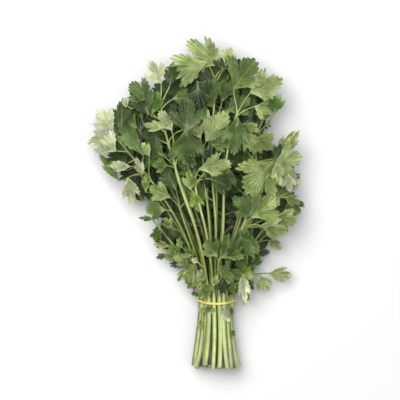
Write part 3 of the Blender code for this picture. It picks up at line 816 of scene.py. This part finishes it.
def noise(tree, scale, detail=3.0, stretch=None):
    place = addNode(tree, "TexCoord").outputs["Object"]
    if stretch:
        place = addNode(tree, "Mapping", {"Vector": place, "Scale": stretch}).outputs["Vector"]
    texture = addNode(tree, "TexNoise", {"Vector": place, "Scale": scale, "Detail": detail})
    return texture.outputs["Fac"]


def mapped(tree, value, span, newSpan):
    inputs = zip(("Value", "From Min", "From Max", "To Min", "To Max"), (value, *span, *newSpan))
    return addNode(tree, "MapRange", inputs, interpolation_type="SMOOTHSTEP").outputs["Result"]


def calculate(tree, operation, first, second):
    return addNode(tree, "Math", {0: first, 1: second}, operation=operation).outputs["Value"]


def mixColours(tree, factor, first, second):
    return addNode(tree, "Mix", {0: factor, 6: first, 7: second}, data_type="RGBA").outputs[2]


def lightnessOf(tree, colour):
    return addNode(tree, "RGBToBW", {"Color": colour}).outputs["Val"]


# the tone attribute carries the greens along with the painted light and shade of blades and stems
def toneAttribute(tree):
    return addNode(tree, "Attribute", attribute_name="tone").outputs["Color"]


def finishShader(tree, shader, colour, roughness, height, relief):
    bump = addNode(tree, "Bump", {"Height": height, "Distance": relief[0], "Strength": relief[1]})
    feed(tree, shader.inputs["Base Color"], colour)
    feed(tree, shader.inputs["Roughness"], roughness)
    feed(tree, shader.inputs["Normal"], bump.outputs["Normal"])


bladeFinish = {
    "specularTop": 0.5,
    "specularUnder": 0.35,
    "roughness": (0.34, 0.55),
    "veinColour": (0.44, 0.53, 0.24),
    "veinWidth": 0.032,
    "veinStrength": 0.5,
    "patchScale": 70,
    "patchShades": (0.70, 1.28),
    "blotchScale": 230,
    "blotchShades": (0.84, 1.16),
    "blotchHues": (0.506, 0.492),
    "speckScale": 900,
    "cellScale": 480,
    "cellEdge": 0.12,
    # Painted highlights: pale patches and specks, stronger on lighter greens, for the whitish sheen on
    # the leaves.
    "paintedSheenColour": (0.60, 0.67, 0.38),
    "sheenPatchSpan": (0.5, 0.72),
    "paintedSheenPatches": 1.4,
    "sheenSpeckSpan": (0.54, 0.70),
    "paintedSheenSpecks": 0.9,
    "underColour": (0.40, 0.47, 0.25),
    "underShare": 0.45,
    "veinDepth": 0.8,
    "cellHeight": 0.35,
    "blotchHeight": 1.6,
    "bulgeWidth": 0.24,
    "bulgeHeight": 0.35,
    "relief": (0.0006, 0.9),
}


def bladeMaterial(name, under):
    specular = bladeFinish["specularUnder" if under else "specularTop"]
    material, tree, shader = startMaterial(name, 0.5, specular)
    tone = toneAttribute(tree)
    veinMap = addNode(tree, "UVMap", uv_map="veinMap").outputs["UV"]
    veins = addNode(tree, "SeparateXYZ", {"Vector": veinMap}).outputs
    offVein = calculate(tree, "PINGPONG", veins["X"], 0.5)
    spread = calculate(tree, "MULTIPLY", offVein, veins["Y"])
    vein = mapped(tree, spread, (0, bladeFinish["veinWidth"]), (1, 0))
    patch = noise(tree, bladeFinish["patchScale"])
    blotch = noise(tree, bladeFinish["blotchScale"], 2.0)
    speck = noise(tree, bladeFinish["speckScale"], 2.0)
    inputs = {"Vector": addNode(tree, "TexCoord").outputs["Object"], "Scale": bladeFinish["cellScale"]}
    cells = addNode(tree, "TexVoronoi", inputs, feature="DISTANCE_TO_EDGE")
    cell = mapped(tree, cells.outputs["Distance"], (0, bladeFinish["cellEdge"]), (0, 1))

    patchShade = mapped(tree, patch, noiseSpan, bladeFinish["patchShades"])
    blotchShade = mapped(tree, blotch, noiseSpan, bladeFinish["blotchShades"])
    colour = tone
    if under:
        colour = mixColours(tree, bladeFinish["underShare"], tone, bladeFinish["underColour"])
    shaded = addNode(tree, "HueSaturation", {
        "Value": calculate(tree, "MULTIPLY", patchShade, blotchShade),
        "Hue": mapped(tree, blotch, noiseSpan, bladeFinish["blotchHues"]),
        "Color": colour,
    })
    # painted sheen: pale patches and specks, scaled by how light the green is, stand in for highlights
    sheenPatch = mapped(tree, patch, bladeFinish["sheenPatchSpan"], (0, bladeFinish["paintedSheenPatches"]))
    sheenSpeck = mapped(tree, speck, bladeFinish["sheenSpeckSpan"], (0, bladeFinish["paintedSheenSpecks"]))
    pale = calculate(tree, "ADD", sheenPatch, sheenSpeck)
    pale = calculate(tree, "MULTIPLY", pale, lightnessOf(tree, tone))
    colour = mixColours(tree, pale, shaded.outputs["Color"], bladeFinish["paintedSheenColour"])
    veined = calculate(tree, "MULTIPLY", vein, bladeFinish["veinStrength"])
    colour = mixColours(tree, veined, colour, bladeFinish["veinColour"])

    upward = -1 if under else 1  # veins are sunk on top and raised underneath
    height = calculate(tree, "MULTIPLY", vein, -upward * bladeFinish["veinDepth"])
    for value, size in ((cell, bladeFinish["cellHeight"]), (blotch, bladeFinish["blotchHeight"])):
        height = calculate(tree, "ADD", height, calculate(tree, "MULTIPLY", value, size))
    bulge = mapped(tree, spread, (0, bladeFinish["bulgeWidth"]), (0, upward * bladeFinish["bulgeHeight"]))
    height = calculate(tree, "ADD", height, bulge)
    roughness = mapped(tree, blotch, noiseSpan, bladeFinish["roughness"])
    finishShader(tree, shader, colour, roughness, height, bladeFinish["relief"])
    return material


stalkFinish = {
    "roughness": (0.34, 0.5),
    "streakStretch": (1, 0.05, 1),
    "streakScale": 1500,
    "streakSpan": (0.5, 0.72),
    "streakShare": 0.9,
    "paleStreak": (0.58, 0.68, 0.27),
    "patchScale": 130,
    "patchShades": (0.85, 1.15),
    "relief": (0.0003, 0.6),
}


def stalkMaterial():
    material, tree, shader = startMaterial("stalk", 0.42, 0.5)
    tone = toneAttribute(tree)
    streaks = noise(tree, stalkFinish["streakScale"], 2.0, stalkFinish["streakStretch"])
    patches = noise(tree, stalkFinish["patchScale"])
    shade = mapped(tree, patches, noiseSpan, stalkFinish["patchShades"])
    shaded = addNode(tree, "HueSaturation", {"Value": shade, "Color": tone})
    streak = mapped(tree, streaks, stalkFinish["streakSpan"], (0, stalkFinish["streakShare"]))
    streak = calculate(tree, "MULTIPLY", streak, lightnessOf(tree, tone))
    colour = mixColours(tree, streak, shaded.outputs["Color"], stalkFinish["paleStreak"])
    roughness = mapped(tree, streaks, noiseSpan, stalkFinish["roughness"])
    finishShader(tree, shader, colour, roughness, streaks, stalkFinish["relief"])
    return material


band = {
    "thickness": 1.2,
    "width": 2.2,
    "stemRadius": 1.7,
    "gap": 0.35,
    "sag": 2.4,
    "sides": 12,
    "segments": 8,
    "straightSteps": 5,
    "colour": (0.90, 0.73, 0.18),
    "deepColour": (0.72, 0.52, 0.06),
    "deepShare": 0.55,
    "mottleScale": 300,
    "mottleSpan": (0.35, 0.7),
    "roughness": (0.32, 0.5),
    "grainScale": 1800,
    "relief": (0.0002, 0.5),
}


def bandMaterial():
    material, tree, shader = startMaterial("goldenRubber", 0.38, 0.5)
    mottle = noise(tree, band["mottleScale"], 4.0)
    deep = mapped(tree, mottle, band["mottleSpan"], (0, band["deepShare"]))
    colour = mixColours(tree, deep, band["colour"], band["deepColour"])
    roughness = mapped(tree, mottle, noiseSpan, band["roughness"])
    finishShader(tree, shader, colour, roughness, noise(tree, band["grainScale"], 2.0), band["relief"])
    return material


def bandLoop(corners):  # the band's middle line round the corner stems, as x and height
    loop = []
    away = band["stemRadius"] + band["gap"] + band["thickness"] / 2
    for before, corner, after in zip(corners[-1:] + corners[:-1], corners, corners[1:] + corners[:1]):
        arriving = (corner - before).normalized()
        leaving = (after - corner).normalized()
        for step in range(band["segments"]):
            heading = arriving.slerp(leaving, step / (band["segments"] - 1))
            loop.append(corner + Vector((-heading.y, heading.x)) * away)
        for step in range(1, band["straightSteps"]):
            along = corner.lerp(after, step / band["straightSteps"])
            loop.append(along + Vector((-leaving.y, leaving.x)) * away)
    return loop


def makeBand(material):
    counts = packing["rowCounts"]
    corners = []
    for row, side in ((0, -1), (3, -1), (6, -1), (6, 1), (3, 1), (0, 1)):  # lowest, widest, highest
        across = side * (counts[row] - 1) / 2 * packing["stemPitch"]
        corners.append(Vector((across, packing["lowestStem"] + packing["rowRise"] * row)))
    loop = bandLoop(corners)
    body = bmesh.new()
    section = bmesh.ops.create_circle(body, segments=band["sides"], radius=1)["verts"]
    edges = list({line for vert in section for line in vert.link_edges})
    places = []
    middle = sum(corner.y for corner in corners) / len(corners)
    widest = max(point.x for point in loop)
    for index, point in enumerate(loop):
        heading = (loop[(index + 1) % len(loop)] - loop[index - 1]).normalized()
        outward = Vector((-heading.y, 0, heading.x))
        forward = Vector((heading.x, 0, heading.y))
        turned = Matrix((
            outward * band["thickness"] / 2 * mm, Vector((0, band["width"] / 2 * mm, 0)), forward * mm
        )).transposed().to_4x4()
        bow = band["sag"] * math.copysign(1 - (point.x / widest) ** 2, point.y - middle)
        turned.translation = toFrame((point.x, packing["bandY"] + band["sag"] / 3 - bow, point.y))
        places.append(turned)
    bmesh.ops.transform(body, matrix=places[0], verts=section)
    for before, after in zip(places, places[1:] + places[:1]):
        verts, edges, faces = growRing(body, edges, after @ before.inverted())
    bmesh.ops.remove_doubles(body, verts=list({*section, *verts}), dist=1e-6)
    bmesh.ops.recalc_face_normals(body, faces=body.faces)
    for face in body.faces:
        face.smooth = True
    return newPiece("tie_band", body, [material], "rubber_band")


def nearestStem(rows, place, paths):  # row, slot and index of the nearest point along a stem
    found = min(
        ((point - place).length, row, slot, index)
        for row in rows for slot, points in paths[row].items()
        for index, point in enumerate(points[2:], 2)
    )
    return found[1:]


# Leaves that fill the inside. Some branch off part-way up every stem, in the tones of its row, dark and
# deep in the lower rows as painted shade of the inside, and the rest are strewn over the whole outline,
# each on the nearest stem of the lowest rows.
filling = {
    "tones": {
        0: ("deep", "deep", "dark"), 1: ("deep", "dark", "deep"), 2: ("dark", "deep", "dark"),
        3: ("dark", "dark", "midDark"), 4: ("dark", "mid", "midDark"), 5: ("mid", "dark", "lightMid"),
    },
    "places": (0.2, 0.32, 0.43, 0.54, 0.64, 0.74, 0.83, 0.92),
    "openFrom": 3,
    "openUntil": 132,
    "length": (14, 22),
    "lowLength": (10, 13),
    "lowUntil": 112,
    "breadths": (0.85, 1.1),
    "turn": (34, 72),
    "sideAway": (5, 8),
    "inside": 0.86,
    "lowInside": 0.72,
    "strewnRows": (0, 1, 2),
    "strewnEvery": 13,
    "strewnTurn": (-70, 70),
    "strewnLength": (18, 24),
    "strewnInside": 0.9,
}


def insideOutline(x, y, share):
    y -= packing["bandY"]
    return math.hypot(x, y) < reachAlong(wayOf(x, y)) * share


def fillLeaves(row, points, draw):
    found = []
    sheet = packing["rowSheets"][row]
    for number, share in enumerate(filling["places"]):
        index = 8 + round(share * (len(points) - 10))
        here, ahead = points[index], points[min(index + 1, len(points) - 1)]
        way = wayOf(ahead.x - here.x, ahead.y - here.y)
        side = -1 if (number + row) % 2 else 1
        leafWay = way + side * draw.uniform(*filling["turn"])
        base = here + direction(way + side * 50) * draw.uniform(*filling["sideAway"])
        low = base.y < filling["lowUntil"]
        length = draw.uniform(*filling["lowLength" if low else "length"])
        breadth = draw.uniform(*filling["breadths"])
        tone = draw.choice(filling["tones"][row])
        tip = base + direction(leafWay) * length
        if row >= filling["openFrom"] and (here.y < filling["openUntil"] or number % 2 == row % 2):
            continue
        if insideOutline(tip.x, tip.y, filling["lowInside" if low else "inside"]):
            spec = (base.x, base.y, leafWay, length, breadth, tone)
            found.append((index, sheet - draw.uniform(0.5, 2.5), spec))
    return found


def strewnLeaves(paths):
    draw = random.Random(77)
    step = filling["strewnEvery"]
    inside = filling["strewnInside"]
    found = {}
    for column in range(-9, 9):
        for line in range(6, 21):
            x = (column + draw.uniform(0.1, 0.9)) * step
            y = (line + draw.uniform(0.1, 0.9)) * step
            way = wayOf(x, y - packing["bandY"]) + draw.uniform(*filling["strewnTurn"])
            length = draw.uniform(*filling["strewnLength"])
            row = draw.choice(filling["strewnRows"])
            tone = draw.choice(filling["tones"][row])
            tip = Vector((x, y, 0)) + direction(way) * length
            if insideOutline(x, y, inside) and insideOutline(tip.x, tip.y, inside):
                sheet = packing["rowSheets"][row] - draw.uniform(0, 3)
                row, slot, index = nearestStem((row,), settle(x, y, sheet), paths)
                spec = (x, y, way, length, 1.0, tone)
                found.setdefault((row, slot), []).append((max(2, index - 1), sheet, spec))
    return found


def placeExtras(paths):  # leaves that branch off part-way, by the row and slot of their stem
    extras = {}
    for sheet, *spec in smallLeaves:
        row, slot, index = nearestStem(range(2, 7), settle(spec[0], spec[1], sheet), paths)
        extras.setdefault((row, slot), []).append((max(2, index - 1), sheet, tuple(spec)))
    for key, strewn in strewnLeaves(paths).items():
        extras.setdefault(key, []).extend(strewn)
    return extras


def addForkedBlades(body, layers, row, stem, shade, number):
    sheet = packing["rowSheets"][row]
    heading = direction(stem[2])
    fork = Vector((stem[0], stem[1], sheet))
    sheet += stem[3]
    droop = max(1.0, stem[3] * 0.25)
    steps = stalklets["steps"]
    for index, blade in enumerate(stem[4]):
        if index:  # the stem itself runs on into the first one
            start = fork - heading * stalklets["spacing"] * index
            route = [settle(*start), *branchRoute(start, heading, blade, sheet, steps)]
            radii = tapered(steps + 1, stalklets["radii"])
            places = [stalklets["colourFrom"] + stalklets["colourStep"] * n for n in range(steps + 1)]
            colours = [stemColour(place, row, shade) for place in places]
            addStalk(body, layers, route, radii, stalklets["sides"], colours, stems["ribDepth"])
        placed = addBlade(body, layers, blade, sheet, droop, number * 40 + index, leaf["room"][row])
        addRib(body, layers, placed, blade[5], blade[3])


def addPartWayLeaves(body, layers, row, points, shade, number, leaves):
    steps = stalklets["thinSteps"]
    radii = tapered(steps + 1, stalklets["thinRadii"])
    colours = [stemColour(stalklets["colourFrom"], row, shade)] * (steps + 1)
    for index, (at, sheet, blade) in enumerate(leaves):
        start = points[at]
        along = direction(blade[2])
        plan = Vector((blade[0], blade[1], sheet))
        span = (settle(blade[0], blade[1], sheet) - start).length
        end = settle(*(plan + along * stalklets["sink"]))
        ahead = (points[min(at + 1, len(points) - 1)] - points[at - 1]).normalized()
        arrive = along * span * 0.7
        route = [start, *smoothRoute(start, ahead * span, end, arrive, steps)]
        addStalk(body, layers, route, radii, stalklets["thinSides"], colours)
        nearTie = blade[1] < packing["bandY"] + leaf["tieLength"]
        room = leaf["tieRoom"] if nearTie else leaf["room"][row]
        addBlade(body, layers, blade, sheet, 1.0, number * 40 + 10 + index, room, blade[5] == "deep")


def makeLeafyStems(materials):
    rows = {row: upperRows.get(row) or lowerRow(row) for row in range(len(packing["rowCounts"]))}
    paths = {
        row: {slot: stemPath(row, slot, stem)[0] for slot, stem in enumerate(found)}
        for row, found in rows.items()
    }
    extras = placeExtras(paths)
    pieces = []
    places = [(row, slot, stem) for row, found in rows.items() for slot, stem in enumerate(found)]
    for number, (row, slot, stem) in enumerate(places, 1):
        name = f"leafy_stem_{number:02d}"
        body = bmesh.new()
        layers = {"uv": body.loops.layers.uv.new("veinMap")}
        layers["tone"] = body.verts.layers.float_color.new("tone")
        points, shade = addStem(body, layers, row, slot, stem)
        addForkedBlades(body, layers, row, stem, shade, number)
        leaves = extras.get((row, slot), [])
        if row in filling["tones"]:
            leaves = leaves + fillLeaves(row, points, random.Random(900 + number))
        addPartWayLeaves(body, layers, row, points, shade, number, leaves)
        pieces.append(newPiece(f"finished_{name}", body, materials, name))
    return pieces


print("materials")
stalkFinished = stalkMaterial()
bladeTop = bladeMaterial("bladeTop", False)
bladeUnder = bladeMaterial("bladeUnderside", True)
rubber = bandMaterial()
print("leafy stems")
leafyStems = makeLeafyStems((stalkFinished, bladeTop, bladeUnder))
faceCount = sum(len(piece.data.polygons) for piece in leafyStems)
print("leafy stems made:", len(leafyStems), "with", faceCount, "faces")
makeBand(rubber)
print("band made")

# Floor, light and camera.
studio = {
    "floorColour": (0.90, 0.90, 0.90),
    "floorSize": 1.6,
    "skyStrength": 0.14,
    "keyPower": 31.0,
    "keyPlace": (-0.36, 0.44, 1.6),
    "lampSize": 1.3,
    "fillPower": 6.0,
    "fillPlace": (0.6, -0.3, 1.6),
    "cameraHeight": 2.0,
    "sensorWidth": 36,
    "viewWidth": 0.3372,
    "viewCentre": (-13.9, 143.3, 0),
    "focusHeight": 0.035,
}


def makeFloor():
    material, tree, shader = startMaterial("paleFloor", 0.7, 0.2)
    pale = studio["floorColour"]
    cloudy = tuple(channel * 1.02 for channel in pale)
    feed(tree, shader.inputs["Base Color"], mixColours(tree, noise(tree, 3), pale, cloudy))
    body = bmesh.new()
    bmesh.ops.create_grid(body, x_segments=8, y_segments=8, size=studio["floorSize"])
    addMesh("floor", body, [material])


def makeLight(name, place, power):
    lamp = bpy.data.lights.new(name, "AREA")
    lamp.size = studio["lampSize"]
    lamp.energy = power
    item = addObject(name, lamp)
    item.location = place
    item.rotation_euler = (-Vector(place)).to_track_quat("-Z", "Y").to_euler()


def makeCamera():
    lens = bpy.data.cameras.new("camera")
    lens.sensor_width = studio["sensorWidth"]
    distance = studio["cameraHeight"] - studio["focusHeight"]
    lens.lens = studio["sensorWidth"] * distance / studio["viewWidth"]
    lens.clip_end = 20
    camera = addObject("camera", lens)
    camera.location = toFrame(studio["viewCentre"])
    camera.location.z = studio["cameraHeight"]
    bpy.context.scene.camera = camera


def makeSky():
    sky = bpy.data.worlds.new("studio")
    sky.use_nodes = True
    background = sky.node_tree.nodes["Background"]
    background.inputs["Strength"].default_value = studio["skyStrength"]
    background.inputs["Color"].default_value = (1, 1, 1, 1)
    bpy.context.scene.world = sky


makeFloor()
makeLight("key", studio["keyPlace"], studio["keyPower"])
makeLight("fill", studio["fillPlace"], studio["fillPower"])
makeCamera()
makeSky()
bpy.context.scene.view_settings.view_transform = "Standard"
print("stage set")
